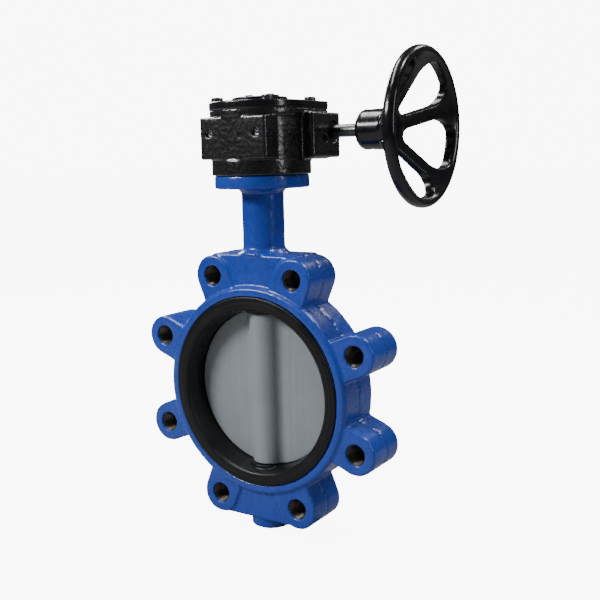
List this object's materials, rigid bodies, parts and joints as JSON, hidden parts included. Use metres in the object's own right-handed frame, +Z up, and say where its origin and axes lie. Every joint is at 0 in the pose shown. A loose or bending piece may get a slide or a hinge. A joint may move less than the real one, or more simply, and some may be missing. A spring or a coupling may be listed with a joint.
{
  "type": "butterfly valve",
  "caption": "Lug-type butterfly valve with a rubber-lined bore, a turning disc, and a worm gearbox on its neck driven by a dished handwheel.",
  "frame": {"origin": "centre of the pipe bore, midway between the two sealing faces", "axes": "+X from the stem towards the handwheel, +Y along the pipe, +Z up the stem"},
  "size_m": [0.2883, 0.1554, 0.4585],
  "materials": {
    "body_epoxy": "gloss blue epoxy on a cast surface",
    "seat_rubber": "matt moulded EPDM",
    "seal_rubber": "satin moulded nitrile",
    "gasket_fibre": "matt pressed sheet",
    "disc_coating": "satin grey coating on a smooth casting",
    "stem_steel": "turned and ground stainless steel",
    "plain_steel": "plain machined steel",
    "zinc_steel": "bright zinc plated steel",
    "black_steel": "blackened steel",
    "bush_bronze": "turned bronze",
    "quadrant_iron": "greased ductile iron with cut teeth",
    "gearbox_paint": "gloss black paint on a rough casting",
    "wheel_paint": "smooth gloss black paint"
  },
  "bodies": {
    "valve": {"valve_body": "body_epoxy", "seat_liner": "seat_rubber", "lower_stem_bush": "bush_bronze", "middle_stem_bush": "bush_bronze", "upper_stem_bush": "bush_bronze", "stem_packing": "seal_rubber", "packing_washer": "plain_steel", "retaining_ring": "plain_steel", "bottom_plug": "zinc_steel", "gearbox_housing": "gearbox_paint", "cover_gasket": "gasket_fibre", "gearbox_cover": "gearbox_paint", "cover_bolts": "zinc_steel", "base_screws": "zinc_steel", "stop_screws": "zinc_steel", "housing_bush": "bush_bronze", "cover_bush": "bush_bronze", "journal_seal": "seal_rubber", "nose_bush": "bush_bronze", "tail_bush": "bush_bronze", "shaft_seal": "seal_rubber", "end_plug": "black_steel", "grease_plug": "black_steel"},
    "disc_group": {"disc": "disc_coating", "upper_stem": "stem_steel", "lower_stem": "stem_steel", "stem_key": "plain_steel", "worm_quadrant": "quadrant_iron", "position_indicator": "gearbox_paint", "indicator_screws": "zinc_steel"},
    "handwheel_group": {"worm_shaft": "stem_steel", "handwheel": "wheel_paint", "wheel_pin": "plain_steel"}
  },
  "joints": [
    {"name": "handwheel_turn", "type": "hinge", "parent": "valve", "child": "handwheel_group", "pos_m": [0, 0.036, 0.24637], "axis": [1, 0, 0], "range_deg": [0, 2520]},
    {"name": "disc_turn", "type": "hinge", "parent": "valve", "child": "disc_group", "pos_m": [0, 0, 0], "axis": [0, 0, 1], "range_deg": [0, 90]}
  ],
  "couplings": [
    {"joint": "disc_turn", "follows": "handwheel_turn", "ratio": 0.035714}
  ]
}
